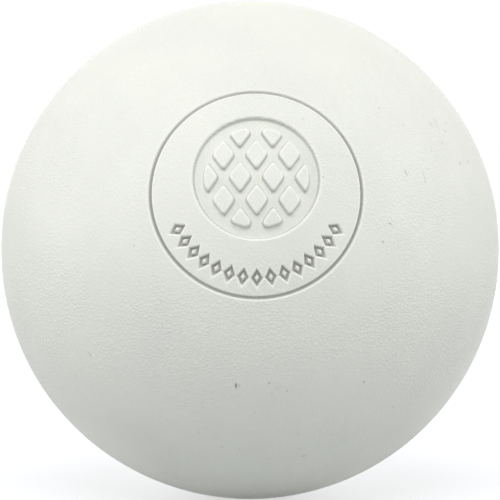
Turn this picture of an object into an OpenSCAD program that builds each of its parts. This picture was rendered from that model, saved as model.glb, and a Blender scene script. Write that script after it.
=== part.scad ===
// Solid rubber lacrosse ball: a core, and two half covers cured on to it.
// Each half cover is built in the mould's frame, with the parting plane at z = 0 and the mark on +Z,
// and the whole ball is then rolled to the way it lies, with its centre at the origin.

/* [Ball] */
// Outside diameter of the finished ball
ball_d = 64; // [62.7:0.1:64.7]
// Thickness of the white cover, from the core to the outside
cover_wall = 6; // [3:0.5:12]

/* [Parting seam] */
// Width of the small chamfer around the outer edge of each half cover's rim
seam_chamfer = 0.15; // [0.05:0.05:0.5]

/* [Ring groove] */
// Diameter of the ring groove, across its middle line
ring_d = 25; // [24:0.5:30]
// Width of the ring groove where it meets the surface
groove_w = 0.5; // [0.3:0.05:0.6]
// Depth of the ring groove at its middle
groove_depth = 0.35; // [0.3:0.05:0.8]

/* [Net emblem] */
// Depth of the recessed strokes of the emblem
emblem_depth = 0.65; // [0.1:0.05:0.7]
// Outside diameter of the round net
net_d = 15; // [10:0.2:16]
// Width of the net's round border stroke
border_w = 1.3; // [0.6:0.1:1.8]
// Width of the strokes that cross inside the border
strand_w = 1; // [0.5:0.1:1.5]
// Distance between neighbouring strokes, from middle to middle
strand_pitch = 3.2; // [2.4:0.1:5]
// Angle by which the strokes lean from upright, one way and the other
strand_lean = 35; // [20:1:45]
// Gap from the ring groove's middle line to the net's upper edge
net_top_gap = 3.4; // [1:0.1:4.5]

/* [Lozenge chain] */
// Gap from the ring groove's middle line to the chain's middle line
chain_inset = 2.2; // [1.6:0.1:3]
// Angle of the arc that the chain fills, centred under the net
chain_arc = 140; // [40:5:180]
// Height of one lozenge, across the arc
lozenge_h = 1.9; // [1.2:0.1:2.4]
// Width of one lozenge, along the arc
lozenge_w = 1.3; // [1:0.1:2]
// Gap between the points of neighbouring lozenges
lozenge_gap = 0.35; // [0.1:0.05:1]
// Width of the stroke that outlines a lozenge
lozenge_stroke = 0.28; // [0.15:0.01:0.4]

/* [Lie] */
// Elevation of the mark's axis above level, as the ball lies
mark_elevation = 15; // [0:1:90]

/* [Hidden] */
ball_r = ball_d / 2;
core_r = ball_r - cover_wall;
ring_r = ring_d / 2;
net_r = net_d / 2;
net_y = ring_r - net_top_gap - net_r;
chain_r = ring_r - chain_inset;

// The groove's bottom is a half circle, and its middle line lies at this angle from the mark's axis
groove_r = groove_w / 2;
ring_polar = asin(ring_r / ball_r);

// Strokes on each side of the net's middle one
strand_reach = floor(net_r / strand_pitch);

// Lozenges that fit into the arc, at equal angles
lozenge_step = 2 * asin((lozenge_w + lozenge_gap) / 2 / chain_r);
lozenge_count = floor(chain_arc / lozenge_step);

// How far cutters run past the surface that they cut
overrun = 1;

cover_colour = [0.94, 0.95, 0.92];
core_colour = [0.45, 0.43, 0.40];

$fn = 128;

// Turns the mould's frame to the way the ball lies: the mark faces -Y, rolled up by its elevation
module as_it_lies() {
    rotate([90 - mark_elevation, 0, 0])
        children();
}

// Triangle that takes the outer edge off a rim which lies in the plane z = 0
module rim_chamfer() {
    rotate_extrude()
        polygon([
            [ball_r - seam_chamfer, -overrun],
            [ball_r - seam_chamfer, 0],
            [ball_r, seam_chamfer],
            [ball_r + overrun, seam_chamfer],
            [ball_r + overrun, -overrun]
        ]);
}

// Half of the cover, from the parting plane up
module half_cover() {
    difference() {
        sphere(r = ball_r);
        sphere(r = core_r);
        translate([-ball_r - overrun, -ball_r - overrun, -ball_r - overrun])
            cube([ball_d + 2 * overrun, ball_d + 2 * overrun, ball_r + overrun]);
        rim_chamfer();
    }
}

// Round-bottomed groove with straight sides, which runs around the mark's axis
module ring_groove() {
    rotate_extrude()
        rotate(-ring_polar)
            translate([0, ball_r - groove_depth + groove_r]) {
                circle(r = groove_r, $fn = 32);
                translate([-groove_r, 0])
                    square([groove_w, groove_depth + overrun]);
            }
}

// Strokes of one direction, across the whole net
module strands(lean) {
    rotate(lean)
        for (i = [-strand_reach : strand_reach])
            translate([i * strand_pitch - strand_w / 2, -net_r])
                square([strand_w, net_d]);
}

// Round net: a border with two directions of strokes inside it
module net_outline() {
    translate([0, net_y]) {
        difference() {
            circle(r = net_r);
            circle(r = net_r - border_w);
        }
        intersection() {
            circle(r = net_r - border_w / 2);
            union() {
                strands(strand_lean);
                strands(-strand_lean);
            }
        }
    }
}

// Diamond with its points at half of a width and a height from the middle
module diamond(w, h) {
    polygon([[w / 2, 0], [0, h / 2], [-w / 2, 0], [0, -h / 2]]);
}

// One lozenge, drawn as a stroke of even width
module lozenge_outline() {
    side = sqrt(lozenge_w * lozenge_w + lozenge_h * lozenge_h);
    difference() {
        diamond(lozenge_w, lozenge_h);
        diamond(
            lozenge_w - 2 * lozenge_stroke * side / lozenge_h,
            lozenge_h - 2 * lozenge_stroke * side / lozenge_w
        );
    }
}

// Chain of lozenges on an arc under the net
module chain_outline() {
    for (i = [0 : lozenge_count - 1])
        rotate((i - (lozenge_count - 1) / 2) * lozenge_step)
            translate([0, -chain_r])
                lozenge_outline();
}

// Sinks an outline into the cover, to a floor that keeps the ball's curve
module sunk() {
    difference() {
        linear_extrude(height = ball_r + overrun)
            children();
        sphere(r = ball_r - emblem_depth);
    }
}

// Solid lump of reclaimed rubber that the covers are cured on to
module core() {
    color(core_colour)
        as_it_lies()
            sphere(r = core_r);
}

// Half of the white cover that carries the ring and the emblem
module marked_half_cover() {
    color(cover_colour)
        as_it_lies()
            difference() {
                half_cover();
                ring_groove();
                sunk()
                    net_outline();
                sunk()
                    chain_outline();
            }
}

// The other half of the white cover, which is plain
module plain_half_cover() {
    color(cover_colour)
        as_it_lies()
            mirror([0, 0, 1])
                half_cover();
}

core();
marked_half_cover();
plain_half_cover();
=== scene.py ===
import math
from typing import NamedTuple

import bmesh
import bpy
import numpy as np
from bpy.props import FloatProperty, FloatVectorProperty, IntProperty, PointerProperty
from mathutils import Matrix, Vector


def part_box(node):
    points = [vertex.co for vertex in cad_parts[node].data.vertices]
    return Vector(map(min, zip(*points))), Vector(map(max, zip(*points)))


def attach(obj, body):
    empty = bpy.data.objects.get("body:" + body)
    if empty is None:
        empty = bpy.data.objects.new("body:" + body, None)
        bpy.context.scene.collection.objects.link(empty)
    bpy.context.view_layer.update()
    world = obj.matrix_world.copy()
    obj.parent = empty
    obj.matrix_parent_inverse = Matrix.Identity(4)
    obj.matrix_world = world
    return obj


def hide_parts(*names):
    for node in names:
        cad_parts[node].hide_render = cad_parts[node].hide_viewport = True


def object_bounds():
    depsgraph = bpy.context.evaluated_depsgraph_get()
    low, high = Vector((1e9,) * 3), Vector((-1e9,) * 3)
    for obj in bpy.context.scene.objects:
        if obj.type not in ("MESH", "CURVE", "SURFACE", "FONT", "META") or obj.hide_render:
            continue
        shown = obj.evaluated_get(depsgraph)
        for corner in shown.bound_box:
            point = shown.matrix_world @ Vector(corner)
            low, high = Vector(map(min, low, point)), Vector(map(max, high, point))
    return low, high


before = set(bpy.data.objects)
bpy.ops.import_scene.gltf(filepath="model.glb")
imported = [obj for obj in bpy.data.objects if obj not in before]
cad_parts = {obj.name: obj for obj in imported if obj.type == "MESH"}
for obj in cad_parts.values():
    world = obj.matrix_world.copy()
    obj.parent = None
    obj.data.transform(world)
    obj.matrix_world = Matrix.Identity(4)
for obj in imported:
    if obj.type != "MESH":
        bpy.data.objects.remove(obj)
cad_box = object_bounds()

bl_info = {
    "name": "Lacrosse Ball",
    "version": (1, 0, 0),
    "blender": (4, 5, 0),
    "location": "View3D > Sidebar > Lacrosse Ball",
    "description": "Finishes a solid rubber lacrosse ball with a ring, a net emblem and a seam",
    "category": "Add Mesh",
}

MM = 0.001
BODY = "root"
WHITE = (1, 1, 1, 1)

# The photograph's frame, in pixels
PHOTO_SIDE = 500

# The camera sees from this much nearer than the ball to this much farther, as a factor
CLIP_SPAN = 100

# Distance from the ball at which the floor starts to be lifted further, in softbox diameters
LIFT_START_SHARE = 1 / 4

# Steps of the mesh that lie close together on each side of the seam
RIM_STEPS = 4

# How far outside the ring the mesh stays dense, in half widths of the ring
NEAR_RING = 6

# The ring groove's section: 2 is half an ellipse, and more is squarer
GROOVE_SQUARENESS = 4

# How much dust and painted shade darken the walls of the net's strokes, the lozenges, and the top
# and the bottom of the ring groove, beside the groove's sides, which are darkened most
NET_DUST_AND_SHADE_SHARE = 0.6
CHAIN_DUST_AND_SHADE_SHARE = 0.6
RING_DUST_AND_SHADE_SHARE = 0.66

# How far the paler band of rubbed wear and painted highlight reaches from what is engraved, in widths
# of the worn edge
WEAR_AND_HIGHLIGHT_SPREAD = 1.5

# Shift of the patches in which the grain is stronger, so that they lie as in the photograph
PATCH_SHIFT = (60 * MM, 20 * MM, 60 * MM)

# Where a noise passes from its low patches to its high ones: the patches of strong grain, the
# cloudy patches, and nearly the whole range of a noise
PATCH_EDGES = {"From Min": 0.4, "From Max": 0.58}
CLOUD_EDGES = {"From Min": 0.35, "From Max": 0.7}
NOISE_RANGE = {"From Min": 0.3, "From Max": 0.7}

# Strength of the grain between its patches
FAINT_GRAIN = 0.45

# How far a wrinkle slopes in from the edge of its cell, in widths of the grain
WRINKLE_SLOPE = 0.35

# Size of the noise that warps the cells of the grain, in widths of the grain
WARP_SPAN = 2

# Width of the grain's fine tooth and of the scratches, in widths of the grain. Real ones are
# finer, and these are drawn as coarse as they need to show.
TOOTH_SHARE = 1 / 3

# Depths of the buffing scratches and of the cuts, in depths of the grain
SCRATCH_DEPTH = 2
CUT_DEPTH = 3

# Size of the scratches' pattern along the seam beside its size across the seam
SCRATCH_STRETCH = 0.12

# How much dust the seam holds, beside the sides of the ring groove
SEAM_DUST_SHARE = 0.45

# Stray specks: the random number from which a cell has one, how dark the darkest is, and how
# far its full shade reaches, as a share of its radius
STRAY_FROM = 0.4
STRAY_DARK = 0.6
STRAY_CORE_SHARE = 1 / 3

# Depth into the view, from the ball's centre, at which stray specks begin and are all there.
# The photograph shows what is nearer.
UNSEEN_EDGES = {"From Min": -8 * MM, "From Max": -2 * MM}

# The random numbers that make a crumb of the core from dark to middle brown, and those that
# make it pale
MIDDLE_CRUMB = {"From Min": 0.2, "From Max": 0.8}
PALE_CRUMB = {"From Min": 0.82, "From Max": 0.95}

# Width of the gaps around the core's crumb, in widths of a crumb
CRUMB_GAP = 0.15

# Refraction of natural rubber, and the roughness of the two rubbers
RUBBER_IOR = 1.52
WHITE_ROUGHNESS = {"To Min": 0.52, "To Max": 0.62}
CRUMB_ROUGHNESS = {"To Min": 0.7, "To Max": 0.9}

# The Mix node's sockets for the two colours that it blends, and for what comes out
MIX_UNDER = 6
MIX_OVER = 7
MIX_RESULT = 2

# The frame's own sizes, to a tenth of a millimetre
BALL_D = round(cad_box[1].x - cad_box[0].x, 4)
CORE_D = round(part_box("core")[1].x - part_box("core")[0].x, 4)


def to_linear(hex_colour):
    """Turns an sRGB hex colour into the linear one that the shaders take."""
    shades = [int(hex_colour[i:i + 2], 16) / 255 for i in (1, 3, 5)]
    return tuple(s / 12.92 if s <= 0.04045 else ((s + 0.055) / 1.055) ** 2.4 for s in shades)


def length(name, description, default):
    """A size in metres."""
    return FloatProperty(name=name, description=description, default=default, min=0, precision=5,
                         unit="LENGTH", subtype="DISTANCE")


def angle(name, description, degrees):
    """An angle, written in degrees and held in radians."""
    return FloatProperty(name=name, description=description, default=math.radians(degrees),
                         unit="ROTATION", subtype="ANGLE")


def share(name, description, default):
    """A plain share from nothing to all."""
    return FloatProperty(name=name, description=description, default=default, min=0, max=1,
                         subtype="FACTOR")


def power(name, description, default):
    """A lamp's power in watts."""
    return FloatProperty(name=name, description=description, default=default, min=0, unit="POWER")


def strength(name, description, default):
    """A light's strength, where 1 shows a colour as it is written."""
    return FloatProperty(name=name, description=description, default=default, min=0)


def colour(name, description, hex_colour):
    """A surface colour, written in sRGB."""
    return FloatVectorProperty(name=name, description=description, default=to_linear(hex_colour),
                               min=0, max=1, size=3, subtype="COLOR")


class BallSizes(bpy.types.PropertyGroup):
    """Sizes of the ball and of what is engraved in it."""

    ball_d: length("Ball diameter", "Outside diameter of the ball", BALL_D)
    core_d: length("Core diameter", "Diameter of the core inside the cover", CORE_D)
    seam_chamfer: length("Seam chamfer", "Chamfer around the rim of each half cover", 0.15 * MM)
    mark_elevation: angle("Mark elevation", "Elevation of the mark's axis above level", 15)
    ring_d: length("Ring diameter", "Diameter of the ring groove, at its middle", 25 * MM)
    groove_w: length("Groove width", "Width of the ring groove, without its worn edges", 0.42 * MM)
    groove_depth: length("Groove depth", "Depth of the ring groove", 0.35 * MM)
    groove_edge_w: length("Groove edge width", "Width of each worn edge of the ring", 0.16 * MM)
    groove_edge_depth: length("Groove edge depth", "How far a worn edge sinks", 0.08 * MM)
    emblem_depth: length("Emblem depth", "Depth of the recessed strokes", 0.65 * MM)
    net_d: length("Net diameter", "Outside diameter of the round net", 15 * MM)
    border_w: length("Border width", "Width of the net's round border", 1.3 * MM)
    strand_w: length("Strand width", "Width of the strokes inside the border", 1 * MM)
    strand_pitch: length("Strand pitch", "Distance between neighbouring strokes", 3.2 * MM)
    strand_lean: angle("Strand lean", "Lean of the strokes from upright, either way", 35)
    net_top_gap: length("Net gap", "Gap from the ring's middle line to the net", 3.4 * MM)
    chain_inset: length("Chain inset", "Gap from the ring to the chain's middle line", 2.2 * MM)
    chain_arc: angle("Chain arc", "Angle of the arc that the lozenges fill", 140)
    lozenge_h: length("Lozenge height", "Height of a lozenge, across the arc", 1.9 * MM)
    lozenge_w: length("Lozenge width", "Width of a lozenge, along the arc", 1.3 * MM)
    lozenge_gap: length("Lozenge gap", "Gap between neighbouring lozenges", 0.35 * MM)
    lozenge_stroke: length("Lozenge stroke", "Width of a lozenge's outline", 0.28 * MM)
    wall_w: length("Wall width", "Width over which the net's strokes curve to their floor", 0.2 * MM)
    fine_wall_w: length("Fine wall width", "Width of the walls of the lozenges", 0.14 * MM)
    edge_w: length("Edge width", "Width of the rounded edge around net and lozenges", 0.18 * MM)
    edge_depth: length("Edge depth", "How far that rounded edge sinks", 0.14 * MM)
    inner_round: length("Inner round", "Rounding where two strokes meet", 0.5 * MM)


class MeshSteps(bpy.types.PropertyGroup):
    """Spacing of the meshes' rings and spokes."""

    spokes: IntProperty(name="Spokes", description="Spokes around the mark's axis",
                        default=240, min=12)
    fine_step: length("Fine step", "Spacing where the emblem is engraved", 0.08 * MM)
    groove_step: length("Groove step", "Spacing across the ring groove", 0.055 * MM)
    gap_step: length("Gap step", "Spacing between the lozenges and the ring", 0.25 * MM)
    near_step: length("Near step", "Spacing just outside the ring", 0.5 * MM)
    wide_step: length("Wide step", "Spacing on the plain rest of the ball", 1.2 * MM)
    rim_step: length("Rim step", "Spacing beside the seam", 0.1 * MM)
    bond_step: length("Bond step", "Spacing on the inside, which meets the core", 2 * MM)


class RubberFinish(bpy.types.PropertyGroup):
    """Colours and surface of the two rubbers."""

    white: colour("White", "The white rubber, clean", "#F1F3EA")
    cloud: colour("Cloud", "Faint cloudy patches in the white", "#EDEFE7")
    # A paler white beside what is engraved: rubbed wear and a painted highlight along the lips
    worn: colour("Worn", "Rubbed edges around what is engraved", "#FCFCF8")
    # Grey of dust in the seam and the grain; in the engraving it is dust and painted shade
    dust_and_shade: colour("Dust", "What gathers in narrow grooves and in the seam", "#86877F")
    speck: colour("Speck", "Pits, ticks and specks of grit", "#53534E")
    core_dark: colour("Core, dark", "Darkest crumb in the core", "#2E2A27")
    core_mid: colour("Core, middle", "Most of the crumb in the core", "#5A534B")
    core_pale: colour("Core, pale", "Palest crumb in the core", "#A39A8C")
    grain_size: length("Grain size", "Width of one wrinkle of the moulded grain", 0.5 * MM)
    grain_depth: length("Grain depth", "Depth of the moulded grain", 0.035 * MM)
    cloud_size: length("Cloud size", "Width of the cloudy patches", 14 * MM)
    speck_spacing: length("Speck spacing", "Distance between stray specks", 5 * MM)
    speck_r: length("Speck radius", "Radius of a stray speck", 0.3 * MM)
    buffed_w: length("Buffed width", "How far from the seam the buffing is full", 0.2 * MM)
    buffed_reach: length("Buffed reach", "How far from the seam the buffing ends", 1.4 * MM)
    seam_dust_w: length("Seam dust width", "How far from the seam its dust is full", 0.02 * MM)
    seam_dust_reach: length("Seam dust reach", "How far from the seam its dust ends", 0.16 * MM)
    crumb_size: length("Crumb size", "Width of the crumb in the core", 1.6 * MM)
    crumb_gap_depth: length("Crumb gap depth", "Depth of the gaps around the crumb", 0.08 * MM)
    # The grey's share at the ring's sides, where its dust and painted shade are strongest; it scales
    # the seam's dust too
    dust_and_shade_share: share("Dust share", "How much of the colour at the ring's sides is dust", 0.76)
    grime_share: share("Grime share", "How much dust lies in the wrinkles of the grain", 0.03)


class StudioSettings(bpy.types.PropertyGroup):
    """The camera, the lamps and the floor."""

    azimuth: angle("Azimuth", "Angle of the view around the ball", -1.46)
    elevation: angle("Elevation", "Angle of the view above level", 2.1)
    distance: length("Distance", "From the camera to the ball's centre", 320 * MM)
    outline_share: share("Outline share", "The ball's outline as a share of the frame", 0.996)
    floor_side: length("Floor side", "Side of the square floor", 3000 * MM)
    lamp_side: length("Lamp side", "Diameter of each round softbox", 700 * MM)
    lamp_distance: length("Lamp distance", "From a softbox to the ball's centre", 900 * MM)
    front_turn: angle("Front turn", "Turn of the front softbox around the ball", -4)
    front_rise: angle("Front rise", "Elevation of the front softbox", 48)
    side_rise: angle("Side rise", "Elevation of the softboxes on the sides", 25)
    back_rise: angle("Back rise", "Elevation of the softbox behind the ball", 8)
    front_power: power("Front power", "Power of the front softbox, on the camera's side", 3.95)
    left_power: power("Left power", "Power of the softbox on the left", 2.38)
    right_power: power("Right power", "Power of the softbox on the right", 2.08)
    back_power: power("Back power", "Power of the softbox behind the ball", 1.2)
    dome: strength("Dome", "Strength of the even light from all around", 0.465)
    table_lamp_side: length("Table lamp side", "Side of the square lamp on the floor", 320 * MM)
    table_lamp_gap: length("Table lamp gap", "From the floor up to that lamp", 0.5 * MM)
    table_lamp_power: power("Table lamp power", "Power of the lamp on the floor", 0.034)
    floor: colour("Floor", "The floor's own colour", "#AEB0B3")
    floor_lift: share("Floor lift", "White added to the floor where it is looked at", 0.64)


class Mark(NamedTuple):
    """A small mark on the ball: its place in the photograph in pixels, its real size in
    millimetres, its lean from upright to the right in degrees, and how dark it is."""

    px: float
    py: float
    long: float
    wide: float
    lean: float
    dark: float


# Pits and specks of grit, nearly round, where the photograph shows them
SPECKS = (
    Mark(px=269, py=383, long=0.42, wide=0.36, lean=0, dark=0.5),
    Mark(px=287, py=391, long=0.28, wide=0.26, lean=0, dark=0.65),
    Mark(px=277, py=388, long=0.7, wide=0.4, lean=60, dark=0.18),
    Mark(px=280, py=386, long=0.5, wide=0.36, lean=20, dark=0.15),
    Mark(px=272, py=393, long=0.4, wide=0.34, lean=0, dark=0.16),
    Mark(px=255, py=413, long=0.4, wide=0.3, lean=10, dark=0.22),
    Mark(px=199, py=433, long=0.45, wide=0.34, lean=0, dark=0.2),
    Mark(px=222, py=447, long=0.7, wide=0.34, lean=80, dark=0.22),
    Mark(px=239, py=449, long=0.5, wide=0.3, lean=70, dark=0.2),
    Mark(px=298, py=434, long=0.6, wide=0.5, lean=0, dark=0.18),
    Mark(px=304, py=456, long=0.62, wide=0.5, lean=30, dark=0.42),
    Mark(px=237, py=455, long=0.44, wide=0.34, lean=60, dark=0.2),
    Mark(px=332, py=436, long=0.4, wide=0.34, lean=0, dark=0.15),
    Mark(px=364, py=382, long=0.5, wide=0.42, lean=0, dark=0.52),
    Mark(px=376, py=412, long=0.36, wide=0.3, lean=0, dark=0.18),
    Mark(px=381, py=421, long=0.34, wide=0.3, lean=0, dark=0.16),
    Mark(px=393, py=407, long=0.38, wide=0.3, lean=0, dark=0.35),
    Mark(px=410, py=377, long=0.36, wide=0.3, lean=0, dark=0.3),
    Mark(px=485, py=286, long=0.6, wide=0.4, lean=0, dark=0.35),
    Mark(px=76, py=376, long=0.5, wide=0.4, lean=0, dark=0.25),
    Mark(px=81, py=363, long=0.34, wide=0.28, lean=0, dark=0.25),
    Mark(px=134, py=246, long=0.36, wide=0.3, lean=0, dark=0.35),
    Mark(px=323, py=177, long=0.34, wide=0.22, lean=70, dark=0.6),
    Mark(px=296, py=193, long=0.24, wide=0.18, lean=0, dark=0.6),
    Mark(px=279, py=209, long=0.22, wide=0.18, lean=0, dark=0.5),
    Mark(px=303, py=119, long=0.4, wide=0.24, lean=80, dark=0.25),
    Mark(px=428, py=169, long=0.4, wide=0.36, lean=0, dark=0.3),
    Mark(px=425, py=182, long=0.36, wide=0.28, lean=0, dark=0.5),
    Mark(px=460, py=163, long=0.9, wide=0.5, lean=60, dark=0.32),
    Mark(px=468, py=162, long=0.9, wide=0.5, lean=60, dark=0.24),
    Mark(px=442, py=143, long=0.5, wide=0.36, lean=60, dark=0.45),
    Mark(px=431, py=151, long=0.44, wide=0.4, lean=0, dark=0.28),
    Mark(px=445, py=131, long=0.7, wide=0.5, lean=40, dark=0.32),
    Mark(px=446, py=123, long=0.7, wide=0.5, lean=60, dark=0.26),
    Mark(px=403, py=125, long=0.6, wide=0.46, lean=0, dark=0.14),
    Mark(px=148, py=34, long=0.5, wide=0.34, lean=0, dark=0.16),
    Mark(px=379, py=108, long=0.6, wide=0.46, lean=0, dark=0.2),
)

# Short cuts and ticks, longer than they are wide
TICKS = (
    Mark(px=236, py=386, long=1.05, wide=0.3, lean=2, dark=1),
    Mark(px=239, py=386, long=0.7, wide=0.3, lean=-16, dark=0.25),
    Mark(px=90, py=355, long=1, wide=0.3, lean=-48, dark=0.4),
    Mark(px=406, py=173, long=1.3, wide=0.24, lean=-23, dark=0.5),
    Mark(px=424, py=176, long=2, wide=0.24, lean=-9, dark=0.3),
    Mark(px=390, py=224, long=0.8, wide=0.26, lean=-76, dark=0.5),
    Mark(px=383, py=242, long=0.6, wide=0.28, lean=-25, dark=0.5),
    Mark(px=431, py=124, long=1.4, wide=0.42, lean=-24, dark=0.32),
    Mark(px=435, py=120, long=1.4, wide=0.4, lean=-16, dark=0.22),
    Mark(px=437, py=126, long=1.2, wide=0.4, lean=-10, dark=0.22),
)


def add_node(tree, kind, inputs=None, **settings):
    """Adds a node with its settings and links. An input is a value, an output of another node, or
    another node, whose first output is then linked."""
    node = tree.nodes.new(kind)
    for name, value in settings.items():
        setattr(node, name, value)
    for name, value in (inputs or {}).items():
        source = value.outputs[0] if isinstance(value, bpy.types.Node) else value
        if isinstance(source, bpy.types.NodeSocket):
            tree.links.new(source, node.inputs[name])
        else:
            node.inputs[name].default_value = source
    return node


def new_material(name):
    """A node material, and its tree with nothing in it."""
    material = bpy.data.materials.new(name)
    material.use_nodes = True
    material.node_tree.nodes.clear()
    return material, material.node_tree


def solid_colour(rgb):
    """A colour property as the four numbers that a socket takes."""
    return (*rgb, 1)


def soft_step(x):
    """Rises smoothly from 0 to 1 as x does."""
    x = np.clip(x, 0, 1)
    return x * x * (3 - 2 * x)


def rounded_union(a, b, round_w):
    """The union of two outlines, given as signed distances, with the corners between them filled."""
    blend = np.maximum(round_w - np.abs(a - b), 0) / round_w
    return np.minimum(a, b) - blend * blend * round_w / 4


def net_distance(sizes, x, y):
    """Signed distance to the strokes of the round net, negative inside them."""
    net_r = sizes.net_d / 2
    border_r = net_r - sizes.border_w / 2
    y = y - (sizes.ring_d / 2 - sizes.net_top_gap - net_r)
    from_middle = np.hypot(x, y)
    border = np.abs(from_middle - border_r) - sizes.border_w / 2
    leaning = []
    for lean in (sizes.strand_lean, -sizes.strand_lean):
        across = x * math.cos(lean) + y * math.sin(lean)
        off_strand = across - sizes.strand_pitch * np.round(across / sizes.strand_pitch)
        leaning.append(np.abs(off_strand) - sizes.strand_w / 2)
    strands = np.maximum(rounded_union(*leaning, sizes.inner_round), from_middle - border_r)
    return rounded_union(border, strands, sizes.inner_round)


def chain_distance(sizes, x, y):
    """Signed distance to the outlines of the lozenges, negative inside them."""
    chain_r = sizes.ring_d / 2 - sizes.chain_inset
    step = 2 * math.asin((sizes.lozenge_w + sizes.lozenge_gap) / 2 / chain_r)
    count = math.floor(sizes.chain_arc / step)
    from_axis = np.hypot(x, y)
    around = np.arctan2(x, -y)
    middle = (count - 1) / 2
    nearest = np.clip(np.round(around / step + middle), 0, count - 1) - middle
    along = from_axis * np.sin(around - nearest * step)
    up = from_axis * np.cos(around - nearest * step) - chain_r
    half_w = sizes.lozenge_w / 2
    half_h = sizes.lozenge_h / 2
    slant = half_w * half_h / math.hypot(half_w, half_h)
    diamond = (np.abs(along) / half_w + np.abs(up) / half_h - 1) * slant
    return np.abs(diamond + sizes.lozenge_stroke / 2) - sizes.lozenge_stroke / 2


def hump(x):
    """Rises from 0 to 1 and falls back to 0 while x goes from 0 to 1."""
    return 4 * x * (1 - x)


def beside(off_outline, width):
    """A soft band of a given width just outside an outline, 1 along its middle."""
    return soft_step(hump(np.clip(off_outline / width, 0, 1)))


def engraving(sizes, x, y):
    """Depth, dust with painted shade, and wear with a painted highlight at places given in the plane
    across the mark's axis. The net's strokes are channels whose walls are darkened by dust and painted
    shade; the lozenges and the ring are narrow, and darkened all across."""
    ball_r = sizes.ball_d / 2
    off_net = net_distance(sizes, x, y)
    off_chain = chain_distance(sizes, x, y)
    net = soft_step(np.sqrt(np.clip(-off_net / sizes.wall_w, 0, 1)))
    chain = soft_step(0.5 - off_chain / sizes.fine_wall_w)
    off_emblem = np.minimum(off_net, off_chain)
    edge = 1 - soft_step(off_emblem / sizes.edge_w)
    emblem = sizes.edge_depth * edge + (sizes.emblem_depth - sizes.edge_depth) * np.maximum(net, chain)
    polar = np.arcsin(np.clip(np.hypot(x, y) / ball_r, 0, 1))
    off_ring = np.abs(ball_r * (polar - math.asin(sizes.ring_d / 2 / ball_r)))
    groove = np.sqrt(1 - np.clip(off_ring / (sizes.groove_w / 2), 0, 1) ** GROOVE_SQUARENESS)
    worn = 1 - soft_step((off_ring - sizes.groove_w / 2) / sizes.groove_edge_w)
    ring = sizes.groove_edge_depth * worn + (sizes.groove_depth - sizes.groove_edge_depth) * groove
    # Grey painted on the net's walls and across the lozenges, as dust and as shade
    dust_and_shade = np.maximum(CHAIN_DUST_AND_SHADE_SHARE * chain, NET_DUST_AND_SHADE_SHARE * hump(net))
    # Painted shade in the ring groove beside its dust: more grey at the ring's sides, where the groove
    # shades itself least
    sideways = (x / (sizes.ring_d / 2)) ** 2
    ring_dust_and_shade = groove * (RING_DUST_AND_SHADE_SHARE + (1 - RING_DUST_AND_SHADE_SHARE) * sideways)
    # A paler band beside what is engraved: rubbed wear with a painted highlight along the lips
    wear_and_highlight = np.maximum(beside(off_emblem, WEAR_AND_HIGHLIGHT_SPREAD * sizes.edge_w),
                      beside(off_ring - sizes.groove_w / 2, WEAR_AND_HIGHLIGHT_SPREAD * sizes.groove_edge_w))
    return np.maximum(emblem, ring), np.maximum(dust_and_shade, ring_dust_and_shade), wear_and_highlight


def carry_arc(shape, start, degrees, steps):
    """Carries a profile on from a vertex, about the ball's centre, and returns its new end."""
    spun = bmesh.ops.spin(shape, geom=[start], cent=(0, 0, 0), axis=(0, 1, 0),
                          angle=math.radians(degrees), steps=steps)
    return next(part for part in spun["geom_last"] if isinstance(part, bmesh.types.BMVert))


def carry_line(shape, start, place):
    """Carries a profile on from a vertex in a straight line, and returns its new end."""
    end = bmesh.ops.extrude_vert_indiv(shape, verts=[start])["verts"][0]
    end.co = place
    return end


def cover_profile(shape, sizes, steps, zones):
    """Draws the cross-section of a half cover: out from its pole, over the rim and back inside."""
    ball_r = sizes.ball_d / 2
    core_r = sizes.core_d / 2
    chamfer = sizes.seam_chamfer
    end = shape.verts.new((0, 0, ball_r))
    reached = 0
    for reach, step in zones:
        turn = math.degrees(math.asin(reach / ball_r)) - reached
        end = carry_arc(shape, end, turn, max(1, round(ball_r * math.radians(turn) / step)))
        reached += turn
    rest = math.degrees(math.acos(chamfer / ball_r)) - reached
    beside_rim = math.degrees(RIM_STEPS * steps.rim_step / ball_r)
    wide = rest - beside_rim
    end = carry_arc(shape, end, wide, round(ball_r * math.radians(wide) / steps.wide_step))
    end = carry_arc(shape, end, beside_rim, RIM_STEPS)
    end = carry_line(shape, end, (ball_r - chamfer, 0, 0))
    end = carry_line(shape, end, (core_r, 0, 0))
    carry_arc(shape, end, -90, round(core_r * math.pi / 2 / steps.bond_step))


def spin_shell(shape, steps, doubles):
    """Spins the profile round into a closed shell."""
    bmesh.ops.spin(shape, geom=shape.verts[:] + shape.edges[:], cent=(0, 0, 0), axis=(0, 0, 1),
                   angle=math.tau, steps=steps.spokes, use_merge=True)
    bmesh.ops.remove_doubles(shape, verts=shape.verts, dist=doubles)


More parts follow.
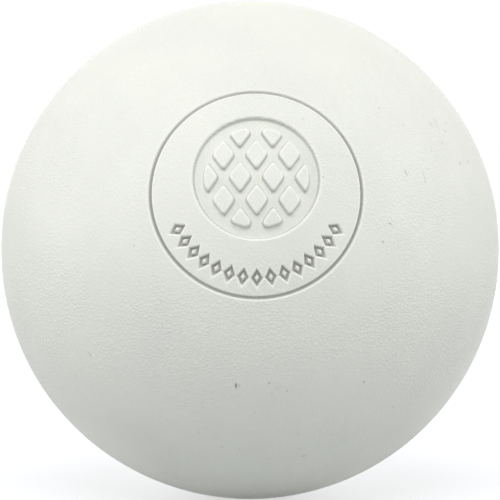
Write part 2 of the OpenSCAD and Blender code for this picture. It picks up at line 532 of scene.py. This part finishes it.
def refine_engraving(shape, sizes, steps):
    """Cuts the arcs of the mesh's rings shorter where something is engraved."""
    ball_r = sizes.ball_d / 2
    margin = ring_half_width(sizes)
    farthest = max(engraved_reaches(sizes))
    same_height = steps.fine_step / 100
    batches = {}
    for edge in shape.edges:
        a, b = (v.co for v in edge.verts)
        middle = (a + b) / 2
        flat = math.hypot(middle.x, middle.y)
        if middle.z <= 0 or flat > farthest + margin or middle.length < ball_r - margin:
            continue
        if abs(a.z - b.z) > same_height:
            continue
        in_net = off_net_disc(sizes, middle) < margin
        in_chain = off_chain_band(sizes, middle) < margin
        in_groove = abs(flat - sizes.ring_d / 2) < margin
        if in_net or in_chain:
            cuts = math.ceil((a - b).length / steps.fine_step) - 1
        elif in_groove:
            cuts = 1
        else:
            cuts = 0
        if cuts:
            batches.setdefault(cuts, []).append(edge)
    for cuts, edges in sorted(batches.items()):
        bmesh.ops.subdivide_edges(shape, edges=edges, cuts=cuts, use_grid_fill=True)
    many_sided = [face for face in shape.faces if len(face.verts) > 4]
    bmesh.ops.triangulate(shape, faces=many_sided)


def engraved_reaches(sizes):
    """How far from the mark's axis the net, the chain and the ring reach."""
    ring_r = sizes.ring_d / 2
    return ring_r - sizes.net_top_gap, ring_r - sizes.chain_inset + sizes.lozenge_h / 2, ring_r


def ring_half_width(sizes):
    """Half of the ring groove's width, with what is worn and rubbed beside it."""
    return sizes.groove_w / 2 + max(1, WEAR_AND_HIGHLIGHT_SPREAD) * sizes.groove_edge_w


def off_net_disc(sizes, place):
    """Distance from the disc that the round net fills, negative inside it."""
    net_r = sizes.net_d / 2
    net_y = sizes.ring_d / 2 - sizes.net_top_gap - net_r
    return math.hypot(place.x, place.y - net_y) - net_r


def off_chain_band(sizes, place):
    """Distance from the band that the lozenges fill, negative inside it."""
    chain_r = sizes.ring_d / 2 - sizes.chain_inset
    off_band = abs(math.hypot(place.x, place.y) - chain_r) - sizes.lozenge_h / 2
    past_arc = (abs(math.atan2(place.x, -place.y)) - sizes.chain_arc / 2) * chain_r
    return max(off_band, past_arc)


def engrave(mesh, sizes):
    """Sinks the engraving into the outside, and notes for each vertex its dust with painted shade and
    its wear with a painted highlight.
    """
    ball_r = sizes.ball_d / 2
    places = np.empty(len(mesh.vertices) * 3, np.float32)
    mesh.vertices.foreach_get("co", places)
    places = places.reshape(-1, 3).astype(float)
    radius = np.linalg.norm(places, axis=1)
    outside = radius > ball_r - sizes.seam_chamfer / 2
    outward = places[outside] / radius[outside, None]
    depth, dust_and_shade, wear_and_highlight = engraving(sizes, outward[:, 0] * ball_r, outward[:, 1] * ball_r)
    places[outside] = outward * (ball_r - depth[:, None])
    mesh.vertices.foreach_set("co", places.astype(np.float32).ravel())
    for name, amount in (("dust_and_shade", dust_and_shade), ("wear_and_highlight", wear_and_highlight)):
        values = np.zeros(len(places), np.float32)
        values[outside] = amount
        mesh.attributes.new(name, "FLOAT", "POINT").data.foreach_set("value", values)


def half_cover(name, node, turn, zones=(), engraved=False):
    """Makes one half cover in the mould's frame and rolls it to the way the ball lies."""
    sizes = bpy.context.scene.lacrosse_ball_sizes
    steps = bpy.context.scene.lacrosse_ball_steps
    tiny = sizes.seam_chamfer / 1000
    shape = bmesh.new()
    cover_profile(shape, sizes, steps, zones)
    spin_shell(shape, steps, tiny)
    if engraved:
        refine_engraving(shape, sizes, steps)
    bmesh.ops.recalc_face_normals(shape, faces=shape.faces)
    for face in shape.faces:
        face.smooth = True
    for edge in shape.edges:
        edge.smooth = any(abs(v.co.z) > tiny for v in edge.verts)
    mesh = bpy.data.meshes.new(name)
    shape.to_mesh(mesh)
    shape.free()
    if engraved:
        engrave(mesh, sizes)
    lie = Matrix.Rotation(math.pi / 2 - sizes.mark_elevation, 4, "X")
    mesh.transform(lie @ Matrix.Rotation(turn, 4, "X"))
    mesh.materials.append(moulded_white_rubber())
    piece = bpy.data.objects.new(name, mesh)
    bpy.context.scene.collection.objects.link(piece)
    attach(piece, BODY)
    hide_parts(node)


def camera_frame():
    """The camera's place, its three directions and its focal length in pixels."""
    studio = bpy.context.scene.lacrosse_ball_studio
    ball_r = bpy.context.scene.lacrosse_ball_sizes.ball_d / 2
    level = math.cos(studio.elevation)
    back = Vector((math.sin(studio.azimuth) * level, -math.cos(studio.azimuth) * level,
                   math.sin(studio.elevation)))
    right = Vector((0, 0, 1)).cross(back).normalized()
    outline_slope = ball_r / math.sqrt(studio.distance ** 2 - ball_r ** 2)
    focal = PHOTO_SIDE / 2 * studio.outline_share / outline_slope
    return back * studio.distance, right, back.cross(right), back, focal


def mark_frame(mark):
    """Where a mark of the photograph lies on the ball, as a place and a turn for its pattern."""
    ball_r = bpy.context.scene.lacrosse_ball_sizes.ball_d / 2
    eye, right, up, back, focal = camera_frame()
    look = right * (mark.px - PHOTO_SIDE / 2) + up * (PHOTO_SIDE / 2 - mark.py) - back * focal
    look.normalize()
    nearest = -eye.dot(look)
    miss = eye.length_squared - nearest ** 2
    place = eye + look * (nearest - math.sqrt(ball_r ** 2 - miss))
    outward = place.normalized()
    lean = math.radians(mark.lean)
    along = up * math.cos(lean) + right * math.sin(lean)
    along = (along - outward * along.dot(outward)).normalized()
    side = outward.cross(along)
    return place, Matrix((along, side, outward)).transposed().to_euler()


def marks_pattern(tree, place, marks, total=0):
    """Adds the shades of marks that the photograph shows, each at its own place, to a pattern."""
    for mark in marks:
        middle, turn = mark_frame(mark)
        half = (mark.long * MM / 2, mark.wide * MM / 2, mark.long * MM / 2)
        local = add_node(tree, "ShaderNodeMapping",
                         {"Vector": place, "Location": middle, "Rotation": turn, "Scale": half},
                         vector_type="TEXTURE")
        spot = add_node(tree, "ShaderNodeTexGradient", {"Vector": local}, gradient_type="SPHERICAL")
        total = add_node(tree, "ShaderNodeMath",
                         {0: spot.outputs["Fac"], 1: mark.dark, 2: total}, operation="MULTIPLY_ADD")
    return total


def stray_specks(tree, finish, place, warped):
    """Specks strewn over the side that the photograph doesn't show."""
    stray = add_node(tree, "ShaderNodeTexVoronoi",
                     {"Vector": warped, "Scale": 1 / finish.speck_spacing})
    speck_r = finish.speck_r / finish.speck_spacing
    spots = add_node(tree, "ShaderNodeMapRange",
                     {"Value": stray.outputs["Distance"], "From Min": speck_r * STRAY_CORE_SHARE,
                      "From Max": speck_r, "To Min": 1, "To Max": 0},
                     interpolation_type="SMOOTHSTEP")
    picked = add_node(tree, "ShaderNodeSeparateColor", {"Color": stray.outputs["Color"]})
    shade = add_node(tree, "ShaderNodeMapRange",
                     {"Value": picked, "From Min": STRAY_FROM, "To Max": STRAY_DARK},
                     interpolation_type="SMOOTHSTEP")
    into_view = add_node(tree, "ShaderNodeSeparateXYZ", {"Vector": place}).outputs["Y"]
    unseen = add_node(tree, "ShaderNodeMapRange", {"Value": into_view, **UNSEEN_EDGES},
                      interpolation_type="SMOOTHSTEP")
    shaded = add_node(tree, "ShaderNodeMath", {0: spots, 1: shade}, operation="MULTIPLY")
    return add_node(tree, "ShaderNodeMath", {0: shaded, 1: unseen}, operation="MULTIPLY")


def leathery_grain(tree, finish, place, cells):
    """Height of the grain: wrinkles and a fine tooth, which come and go in patches."""
    wrinkles = add_node(tree, "ShaderNodeMapRange", {"Value": cells, "From Max": WRINKLE_SLOPE},
                        interpolation_type="SMOOTHSTEP")
    tooth = add_node(tree, "ShaderNodeTexNoise",
                     {"Vector": place, "Scale": 1 / (finish.grain_size * TOOTH_SHARE), "Detail": 3})
    grain = add_node(tree, "ShaderNodeMath", {0: wrinkles, 1: tooth}, operation="ADD")
    shifted = add_node(tree, "ShaderNodeMapping", {"Vector": place, "Location": PATCH_SHIFT})
    patches = add_node(tree, "ShaderNodeTexNoise",
                       {"Vector": shifted, "Scale": 1 / finish.cloud_size, "Detail": 1})
    strong = add_node(tree, "ShaderNodeMapRange",
                      {"Value": patches, **PATCH_EDGES, "To Min": FAINT_GRAIN},
                      interpolation_type="SMOOTHSTEP")
    return add_node(tree, "ShaderNodeMath", {0: grain, 1: strong}, operation="MULTIPLY")


def buffing_scratches(tree, finish, mould, off_seam):
    """Height of the short fine scratches across the seam, which is buffed after moulding."""
    crosswise = add_node(tree, "ShaderNodeMapping",
                         {"Vector": mould, "Scale": (1, 1, SCRATCH_STRETCH)})
    scratches = add_node(tree, "ShaderNodeTexNoise",
                         {"Vector": crosswise, "Scale": 1 / (finish.grain_size * TOOTH_SHARE),
                          "Detail": 3})
    buffed = add_node(tree, "ShaderNodeMapRange",
                      {"Value": off_seam, "From Min": finish.buffed_w,
                       "From Max": finish.buffed_reach, "To Min": SCRATCH_DEPTH, "To Max": 0},
                      interpolation_type="SMOOTHSTEP")
    return add_node(tree, "ShaderNodeMath", {0: scratches, 1: buffed}, operation="MULTIPLY")


def gathered_dust_and_shade(tree, finish, cells, off_seam):
    """How much grey lies in what is engraved, as dust and painted shade, and as dust in the seam and
    in the wrinkles of the grain.
    """
    engraved = add_node(tree, "ShaderNodeAttribute", attribute_name="dust_and_shade").outputs["Fac"]
    in_seam = add_node(tree, "ShaderNodeMapRange",
                       {"Value": off_seam, "From Min": finish.seam_dust_w,
                        "From Max": finish.seam_dust_reach, "To Min": SEAM_DUST_SHARE, "To Max": 0},
                       interpolation_type="SMOOTHSTEP")
    in_wrinkles = add_node(tree, "ShaderNodeMapRange",
                           {"Value": cells, "From Max": WRINKLE_SLOPE,
                            "To Min": finish.grime_share, "To Max": 0},
                           interpolation_type="SMOOTHSTEP")
    greyest = add_node(tree, "ShaderNodeMath", {0: engraved, 1: in_seam}, operation="MAXIMUM")
    return add_node(tree, "ShaderNodeMath", {0: greyest, 1: finish.dust_and_shade_share, 2: in_wrinkles},
                    operation="MULTIPLY_ADD")


def layered_colour(tree, base, layers):
    """Lays colours over a first one, each by its own amount."""
    tint = solid_colour(base)
    for amount, over in layers:
        mix = add_node(tree, "ShaderNodeMix",
                       {0: amount, MIX_UNDER: tint, MIX_OVER: solid_colour(over)},
                       data_type="RGBA")
        tint = mix.outputs[MIX_RESULT]
    return tint


def moulded_white_rubber():
    """Natural rubber filled with titanium dioxide and compression moulded: a matt, faintly
    greenish white with a fine leathery grain, as the mould's blasted wall leaves it."""
    name = "White natural rubber, compression moulded"
    if name in bpy.data.materials:
        return bpy.data.materials[name]
    finish = bpy.context.scene.lacrosse_ball_finish
    sizes = bpy.context.scene.lacrosse_ball_sizes
    material, tree = new_material(name)
    place = add_node(tree, "ShaderNodeTexCoord").outputs["Object"]
    mould = add_node(tree, "ShaderNodeMapping",
                     {"Vector": place, "Rotation": (sizes.mark_elevation - math.pi / 2, 0, 0)})
    from_seam = add_node(tree, "ShaderNodeSeparateXYZ", {"Vector": mould}).outputs["Z"]
    off_seam = add_node(tree, "ShaderNodeMath", {0: from_seam}, operation="ABSOLUTE")

    # Cells of a warped pattern, whose edges are the wrinkles
    warp = add_node(tree, "ShaderNodeTexNoise",
                    {"Vector": place, "Scale": 1 / (finish.grain_size * WARP_SPAN)}).outputs["Color"]
    warped = add_node(tree, "ShaderNodeVectorMath",
                      {0: warp, 1: (finish.grain_size,) * 3, 2: place}, operation="MULTIPLY_ADD")
    cells = add_node(tree, "ShaderNodeTexVoronoi",
                     {"Vector": warped, "Scale": 1 / finish.grain_size}, feature="DISTANCE_TO_EDGE")
    grain = add_node(tree, "ShaderNodeMath",
                     {0: leathery_grain(tree, finish, place, cells),
                      1: buffing_scratches(tree, finish, mould, off_seam)}, operation="ADD")

    # Cuts and specks of the photograph, and stray ones on the side that it doesn't show
    cuts = marks_pattern(tree, place, TICKS)
    marks = add_node(tree, "ShaderNodeMath",
                     {0: marks_pattern(tree, place, SPECKS, cuts),
                      1: stray_specks(tree, finish, place, warped)}, operation="ADD")

    # Cloudy white with rubbed edges that carry a painted highlight, dust with painted shade in the
    # engraving, and marks
    clouds = add_node(tree, "ShaderNodeTexNoise",
                      {"Vector": place, "Scale": 1 / finish.cloud_size, "Detail": 4,
                       "Roughness": 0.6})
    cloudy = add_node(tree, "ShaderNodeMapRange", {"Value": clouds, **CLOUD_EDGES},
                      interpolation_type="SMOOTHSTEP")
    wear_and_highlight = add_node(tree, "ShaderNodeAttribute", attribute_name="wear_and_highlight").outputs["Fac"]
    dusty_and_shaded = gathered_dust_and_shade(tree, finish, cells, off_seam)
    tint = layered_colour(tree, finish.white, ((cloudy, finish.cloud), (wear_and_highlight, finish.worn),
                                               (dusty_and_shaded, finish.dust_and_shade), (marks, finish.speck)))

    rough = add_node(tree, "ShaderNodeMapRange",
                     {"Value": clouds, **NOISE_RANGE, **WHITE_ROUGHNESS},
                     interpolation_type="SMOOTHSTEP")
    height = add_node(tree, "ShaderNodeMath", {0: cuts, 1: -CUT_DEPTH, 2: grain},
                      operation="MULTIPLY_ADD")
    relief = add_node(tree, "ShaderNodeBump",
                      {"Strength": 1, "Distance": finish.grain_depth, "Height": height})
    shader = add_node(tree, "ShaderNodeBsdfPrincipled",
                      {"Base Color": tint, "Roughness": rough, "IOR": RUBBER_IOR, "Normal": relief})
    add_node(tree, "ShaderNodeOutputMaterial", {"Surface": shader})
    return material


def reclaimed_rubber():
    """Ground reclaimed rubber, pressed into a ball: angular crumb in greys and browns, dull,
    with a slight gap around each grain."""
    finish = bpy.context.scene.lacrosse_ball_finish
    material, tree = new_material("Reclaimed rubber crumb, pressed")
    place = add_node(tree, "ShaderNodeTexCoord").outputs["Object"]
    crumb = add_node(tree, "ShaderNodeTexVoronoi",
                     {"Vector": place, "Scale": 1 / finish.crumb_size})
    picked = add_node(tree, "ShaderNodeSeparateColor", {"Color": crumb.outputs["Color"]}).outputs
    middle = add_node(tree, "ShaderNodeMapRange", {"Value": picked["Red"], **MIDDLE_CRUMB},
                      interpolation_type="SMOOTHSTEP")
    pale = add_node(tree, "ShaderNodeMapRange", {"Value": picked["Green"], **PALE_CRUMB},
                    interpolation_type="SMOOTHSTEP")
    tint = layered_colour(tree, finish.core_dark,
                          ((middle, finish.core_mid), (pale, finish.core_pale)))
    gaps = add_node(tree, "ShaderNodeTexVoronoi",
                    {"Vector": place, "Scale": 1 / finish.crumb_size}, feature="DISTANCE_TO_EDGE")
    height = add_node(tree, "ShaderNodeMapRange", {"Value": gaps, "From Max": CRUMB_GAP},
                      interpolation_type="SMOOTHSTEP")
    relief = add_node(tree, "ShaderNodeBump",
                      {"Strength": 1, "Distance": finish.crumb_gap_depth, "Height": height})
    rough = add_node(tree, "ShaderNodeMapRange", {"Value": picked["Blue"], **CRUMB_ROUGHNESS},
                     interpolation_type="SMOOTHSTEP")
    shader = add_node(tree, "ShaderNodeBsdfPrincipled",
                      {"Base Color": tint, "Roughness": rough, "IOR": RUBBER_IOR, "Normal": relief})
    add_node(tree, "ShaderNodeOutputMaterial", {"Surface": shader})
    return material


def looked_at(tree):
    """1 where the camera, a reflection or clear glass looks, and 0 for light that bounces."""
    path = add_node(tree, "ShaderNodeLightPath").outputs
    seen = add_node(tree, "ShaderNodeMath",
                    {0: path["Is Camera Ray"], 1: path["Is Glossy Ray"]}, operation="MAXIMUM")
    return add_node(tree, "ShaderNodeMath",
                    {0: seen, 1: path["Is Transmission Ray"]}, operation="MAXIMUM")


def opal_acrylic(studio):
    """Opal acrylic sheet of a light table: an even matt surface, lifted to white where it is
    looked at, so that only the ball's shadow shows on it. It is lifted all the way far from the
    ball, where the lamps reach less."""
    material, tree = new_material("Opal acrylic, matt")
    sheet = add_node(tree, "ShaderNodeBsdfDiffuse", {"Color": solid_colour(studio.floor)})
    place = add_node(tree, "ShaderNodeTexCoord").outputs["Object"]
    from_ball = add_node(tree, "ShaderNodeVectorMath", {0: place}, operation="LENGTH")
    fade = add_node(tree, "ShaderNodeMapRange",
                    {"Value": from_ball.outputs["Value"],
                     "From Min": studio.lamp_side * LIFT_START_SHARE,
                     "From Max": studio.lamp_side, "To Min": studio.floor_lift},
                    interpolation_type="SMOOTHSTEP")
    lift = add_node(tree, "ShaderNodeMath", {0: looked_at(tree), 1: fade}, operation="MULTIPLY")
    glow = add_node(tree, "ShaderNodeEmission", {"Color": WHITE, "Strength": lift})
    both = add_node(tree, "ShaderNodeAddShader", {0: sheet, 1: glow})
    add_node(tree, "ShaderNodeOutputMaterial", {"Surface": both})
    return material


def white_room(studio):
    """The world: an even pale dome as light, and plain white where it is looked at."""
    world = bpy.data.worlds.new("Pale dome")
    world.use_nodes = True
    tree = world.node_tree
    tree.nodes.clear()
    dome = add_node(tree, "ShaderNodeBackground", {"Color": WHITE, "Strength": studio.dome})
    white = add_node(tree, "ShaderNodeBackground", {"Color": WHITE, "Strength": 1})
    room = add_node(tree, "ShaderNodeMixShader", {0: looked_at(tree), 1: dome, 2: white})
    add_node(tree, "ShaderNodeOutputWorld", {"Surface": room})
    return world


def hang_lamp(name, shape, side, watts, place):
    """An area lamp that looks at the ball from a place, and isn't seen itself."""
    lamp = bpy.data.lights.new(name, "AREA")
    lamp.shape = shape
    lamp.size = side
    lamp.energy = watts
    box = bpy.data.objects.new(name, lamp)
    box.visible_camera = False
    aim = place.to_track_quat("Z", "Y").to_matrix().to_4x4()
    box.matrix_world = Matrix.Translation(place) @ aim
    bpy.context.scene.collection.objects.link(box)


def softbox(name, azimuth, rise, watts):
    """A round soft lamp at an angle around the ball from the camera's side."""
    studio = bpy.context.scene.lacrosse_ball_studio
    level = math.cos(rise)
    towards = Vector((math.sin(azimuth) * level, -math.cos(azimuth) * level, math.sin(rise)))
    hang_lamp(name, "DISK", studio.lamp_side, watts, towards * studio.lamp_distance)


def table_lamp(studio, ball_r):
    """The lamp of a light table, which lies on the floor and lights the ball from below."""
    place = Vector((0, 0, studio.table_lamp_gap - ball_r))
    hang_lamp("table_lamp", "SQUARE", studio.table_lamp_side, studio.table_lamp_power, place)


def lay_floor(studio, ball_r):
    """A square floor at the ball's lowest point."""
    shape = bmesh.new()
    bmesh.ops.create_grid(shape, x_segments=1, y_segments=1, size=studio.floor_side / 2)
    bmesh.ops.translate(shape, verts=shape.verts, vec=(0, 0, -ball_r))
    mesh = bpy.data.meshes.new("floor")
    shape.to_mesh(mesh)
    shape.free()
    mesh.materials.append(opal_acrylic(studio))
    floor = bpy.data.objects.new("floor", mesh)
    bpy.context.scene.collection.objects.link(floor)


def set_camera(studio):
    """The camera of the photograph, at its place and with its focal length."""
    place, right, up, back, focal = camera_frame()
    lens = bpy.data.cameras.new("photo_camera")
    lens.lens = focal / PHOTO_SIDE * lens.sensor_width
    lens.clip_start = studio.distance / CLIP_SPAN
    lens.clip_end = studio.distance * CLIP_SPAN
    camera = bpy.data.objects.new("photo_camera", lens)
    camera.matrix_world = Matrix.Translation(place) @ Matrix((right, up, back)).transposed().to_4x4()
    bpy.context.scene.collection.objects.link(camera)
    bpy.context.scene.camera = camera


class LACROSSE_BALL_OT_core(bpy.types.Operator):
    """Give the core its pressed crumb rubber"""

    bl_idname = "lacrosse_ball.core"
    bl_label = "Core"

    def execute(self, context):
        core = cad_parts["core"]
        rubber = reclaimed_rubber()
        if not core.material_slots:
            raise RuntimeError("the core has no material slot to fill")
        for slot in core.material_slots:
            slot.material = rubber
        return {"FINISHED"}


class LACROSSE_BALL_OT_marked_cover(bpy.types.Operator):
    """Make the half cover that carries the ring, the net emblem and the chain"""

    bl_idname = "lacrosse_ball.marked_cover"
    bl_label = "Marked half cover"

    def execute(self, context):
        sizes = context.scene.lacrosse_ball_sizes
        steps = context.scene.lacrosse_ball_steps
        ring_r = sizes.ring_d / 2
        margin = ring_half_width(sizes)
        zones = (
            (max(engraved_reaches(sizes)[:2]) + WEAR_AND_HIGHLIGHT_SPREAD * sizes.edge_w, steps.fine_step),
            (ring_r - margin, steps.gap_step),
            (ring_r + margin, steps.groove_step),
            (ring_r + NEAR_RING * margin, steps.near_step),
        )
        half_cover("marked_cover", "marked_half_cover", 0, zones, engraved=True)
        return {"FINISHED"}


class LACROSSE_BALL_OT_plain_cover(bpy.types.Operator):
    """Make the plain half cover, on the far side of the seam"""

    bl_idname = "lacrosse_ball.plain_cover"
    bl_label = "Plain half cover"

    def execute(self, context):
        half_cover("plain_cover", "plain_half_cover", math.pi)
        return {"FINISHED"}


class LACROSSE_BALL_OT_stage(bpy.types.Operator):
    """Set up the floor, the soft light and the camera"""

    bl_idname = "lacrosse_ball.stage"
    bl_label = "Stage"

    def execute(self, context):
        scene = context.scene
        studio = scene.lacrosse_ball_studio
        ball_r = scene.lacrosse_ball_sizes.ball_d / 2
        scene.world = white_room(studio)
        scene.view_settings.view_transform = "Standard"
        lay_floor(studio, ball_r)
        softbox("front_softbox", studio.front_turn, studio.front_rise, studio.front_power)
        softbox("left_softbox", -math.pi / 2, studio.side_rise, studio.left_power)
        softbox("right_softbox", math.pi / 2, studio.side_rise, studio.right_power)
        softbox("back_softbox", math.pi, studio.back_rise, studio.back_power)
        table_lamp(studio, ball_r)
        set_camera(studio)
        return {"FINISHED"}


PIECE_OPERATORS = (
    LACROSSE_BALL_OT_core,
    LACROSSE_BALL_OT_marked_cover,
    LACROSSE_BALL_OT_plain_cover,
    LACROSSE_BALL_OT_stage,
)

SETTINGS = {
    "lacrosse_ball_sizes": BallSizes,
    "lacrosse_ball_steps": MeshSteps,
    "lacrosse_ball_finish": RubberFinish,
    "lacrosse_ball_studio": StudioSettings,
}


class LACROSSE_BALL_PT_panel(bpy.types.Panel):
    """Lists the ball's sizes, finishes and makers"""

    bl_idname = "LACROSSE_BALL_PT_panel"
    bl_label = "Lacrosse Ball"
    bl_space_type = "VIEW_3D"
    bl_region_type = "UI"
    bl_category = "Lacrosse Ball"

    def draw(self, context):
        for group in SETTINGS:
            box = self.layout.box()
            settings = getattr(context.scene, group)
            for name in SETTINGS[group].__annotations__:
                box.prop(settings, name)
        for operator in PIECE_OPERATORS:
            self.layout.operator(operator.bl_idname)


def register():
    for group in SETTINGS.values():
        bpy.utils.register_class(group)
    for operator in PIECE_OPERATORS:
        bpy.utils.register_class(operator)
    bpy.utils.register_class(LACROSSE_BALL_PT_panel)
    for name, group in SETTINGS.items():
        setattr(bpy.types.Scene, name, PointerProperty(type=group))


def unregister():
    for name in SETTINGS:
        delattr(bpy.types.Scene, name)
    bpy.utils.unregister_class(LACROSSE_BALL_PT_panel)
    for operator in reversed(PIECE_OPERATORS):
        bpy.utils.unregister_class(operator)
    for group in reversed(SETTINGS.values()):
        bpy.utils.unregister_class(group)


def main():
    """Makes the pieces and the stage."""
    register()
    bpy.ops.lacrosse_ball.core()
    bpy.ops.lacrosse_ball.marked_cover()
    bpy.ops.lacrosse_ball.plain_cover()
    bpy.ops.lacrosse_ball.stage()


if __name__ == "__main__":
    main()
